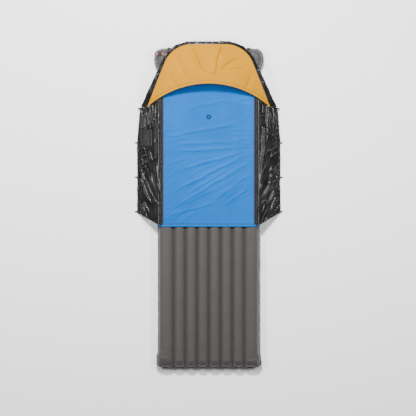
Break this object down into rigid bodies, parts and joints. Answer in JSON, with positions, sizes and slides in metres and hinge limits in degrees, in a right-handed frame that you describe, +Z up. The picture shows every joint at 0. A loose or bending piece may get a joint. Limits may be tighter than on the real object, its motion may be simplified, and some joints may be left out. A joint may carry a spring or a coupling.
{
  "type": "hooded camping bed sheet on an air mattress",
  "caption": "half-length fitted bed sheet with a domed hood and two fold-out side wings, stretched over an inflated tubed camping mattress",
  "frame": {"origin": "middle of the mattress's underside, on the ground", "axes": "+Y points to the head end, +X to the right seen from above with the head up, +Z up"},
  "size_m": [0.8478, 1.87, 0.1605],
  "materials": {
    "mattress_fabric": "matte coated nylon",
    "baffle_fabric": "plain",
    "mattress_weld": "matte, pressed flat",
    "valve_plastic": "fine satin",
    "valve_tab": "soft matte",
    "panel_fabric": "smooth taffeta",
    "side_fabric": "smooth taffeta",
    "black_nylon": "shiny crinkled nylon",
    "hem_fabric": "smooth taffeta, stitched",
    "elastic": "woven elastic",
    "seam_tape": "woven tape",
    "emblem_print": "matte print",
    "hood_fabric": "smooth taffeta",
    "hood_filling": "loose fibre",
    "hood_lining": "smooth taffeta",
    "brim_binding": "folded and stitched",
    "cord": "braided",
    "edge_binding": "folded and stitched",
    "loop_webbing": "woven tape",
    "hook_plastic": "moulded",
    "pocket_fabric": "smooth nylon",
    "zip_tape": "woven tape",
    "zip_metal": "die cast",
    "tab_webbing": "woven tape",
    "lock_plastic": "moulded",
    "lock_button": "moulded"
  },
  "bodies": {
    "bed": {"mattress_top_skin": "mattress_fabric", "mattress_bottom_skin": "mattress_fabric", "mattress_baffles": "baffle_fabric", "mattress_weld": "mattress_weld", "valve_base": "valve_plastic", "sheet_panel": "panel_fabric", "sheet_side_left": "side_fabric", "sheet_side_right": "side_fabric", "sheet_head_wrap": "black_nylon", "sheet_foot_hem": "hem_fabric", "foot_elastic": "elastic", "seam_tape_left": "seam_tape", "seam_tape_right": "seam_tape", "under_strap_foot": "elastic", "under_strap_middle": "elastic", "sheet_emblem": "emblem_print"},
    "hood": {"hood_outer": "hood_fabric", "hood_fill": "hood_filling", "hood_lining": "hood_lining", "hood_wall": "black_nylon", "brim_binding": "brim_binding", "brim_cord_ring": "cord"},
    "wing_left": {"wing_left_panel": "black_nylon", "wing_left_edge": "edge_binding", "wing_left_foot_hem": "edge_binding", "wing_left_loops": "loop_webbing", "pocket_patch": "pocket_fabric", "zip_tape": "zip_tape", "zip_stops": "zip_metal"},
    "wing_right": {"wing_right_panel": "black_nylon", "wing_right_edge": "edge_binding", "wing_right_foot_hem": "edge_binding", "wing_right_loops": "loop_webbing", "cord_tab": "tab_webbing", "draw_cord": "cord"},
    "hook_left_1": {"hook_left_1": "hook_plastic"},
    "hook_left_2": {"hook_left_2": "hook_plastic"},
    "hook_left_3": {"hook_left_3": "hook_plastic"},
    "hook_left_4": {"hook_left_4": "hook_plastic"},
    "hook_right_1": {"hook_right_1": "hook_plastic"},
    "hook_right_2": {"hook_right_2": "hook_plastic"},
    "hook_right_3": {"hook_right_3": "hook_plastic"},
    "hook_right_4": {"hook_right_4": "hook_plastic"},
    "zip_slider": {"zip_slider": "zip_metal"},
    "zip_puller": {"zip_puller": "zip_metal"},
    "cord_lock": {"cord_lock": "lock_plastic"},
    "cord_lock_button": {"cord_lock_button": "lock_button"},
    "valve_cap": {"valve_plug": "valve_plastic", "valve_pull_tab": "valve_tab"}
  },
  "joints": [
    {"name": "hood_lift", "type": "hinge", "parent": "bed", "child": "hood", "pos_m": [0, 0.905, 0.0789], "axis": [-1, 0, 0], "range_deg": [0, 45]},
    {"name": "wing_left_fold", "type": "hinge", "parent": "bed", "child": "wing_left", "pos_m": [-0.2705, 0, 0.0825], "axis": [0, 1, 0], "range_deg": [0, 165]},
    {"name": "wing_right_fold", "type": "hinge", "parent": "bed", "child": "wing_right", "pos_m": [0.2705, 0, 0.0825], "axis": [0, -1, 0], "range_deg": [0, 165]},
    {"name": "hook_left_1_swing", "type": "hinge", "parent": "wing_left", "child": "hook_left_1", "pos_m": [-0.39536, 0.57189, 0.01502], "axis": [0, 1, 0], "range_deg": [0, 120]},
    {"name": "hook_left_2_swing", "type": "hinge", "parent": "wing_left", "child": "hook_left_2", "pos_m": [-0.4129, 0.37489, 0.0038], "axis": [0, 1, 0], "range_deg": [0, 120]},
    {"name": "hook_left_3_swing", "type": "hinge", "parent": "wing_left", "child": "hook_left_3", "pos_m": [-0.4129, 0.17789, 0.0038], "axis": [0, 1, 0], "range_deg": [0, 120]},
    {"name": "hook_left_4_swing", "type": "hinge", "parent": "wing_left", "child": "hook_left_4", "pos_m": [-0.4129, -0.01911, 0.0038], "axis": [0, 1, 0], "range_deg": [0, 120]},
    {"name": "hook_right_1_swing", "type": "hinge", "parent": "wing_right", "child": "hook_right_1", "pos_m": [0.39536, 0.57189, 0.01502], "axis": [0, -1, 0], "range_deg": [0, 120]},
    {"name": "hook_right_2_swing", "type": "hinge", "parent": "wing_right", "child": "hook_right_2", "pos_m": [0.4129, 0.37489, 0.0038], "axis": [0, -1, 0], "range_deg": [0, 120]},
    {"name": "hook_right_3_swing", "type": "hinge", "parent": "wing_right", "child": "hook_right_3", "pos_m": [0.4129, 0.17789, 0.0038], "axis": [0, -1, 0], "range_deg": [0, 120]},
    {"name": "hook_right_4_swing", "type": "hinge", "parent": "wing_right", "child": "hook_right_4", "pos_m": [0.4129, -0.01911, 0.0038], "axis": [0, -1, 0], "range_deg": [0, 120]},
    {"name": "zip_travel", "type": "slide", "parent": "wing_left", "child": "zip_slider", "axis": [0, 1, 0], "range_m": [-0.085, 0.116]},
    {"name": "puller_flip", "type": "hinge", "parent": "zip_slider", "child": "zip_puller", "pos_m": [-0.30732, 0.38299, 0.07522], "axis": [0.8425, 0, 0.5387], "range_deg": [0, 150]},
    {"name": "cord_lock_travel", "type": "slide", "parent": "wing_right", "child": "cord_lock", "axis": [0, 1, 0], "range_m": [-0.03, 0.004]},
    {"name": "cord_lock_press", "type": "slide", "parent": "cord_lock", "child": "cord_lock_button", "axis": [0.8425, 0, -0.5387], "range_m": [0, 0.002], "stiffness_N_per_m": 400},
    {"name": "valve_open", "type": "hinge", "parent": "bed", "child": "valve_cap", "pos_m": [-0.28, 0.9, 0.079], "axis": [-1, 0, 0], "range_deg": [0, 110]}
  ]
}
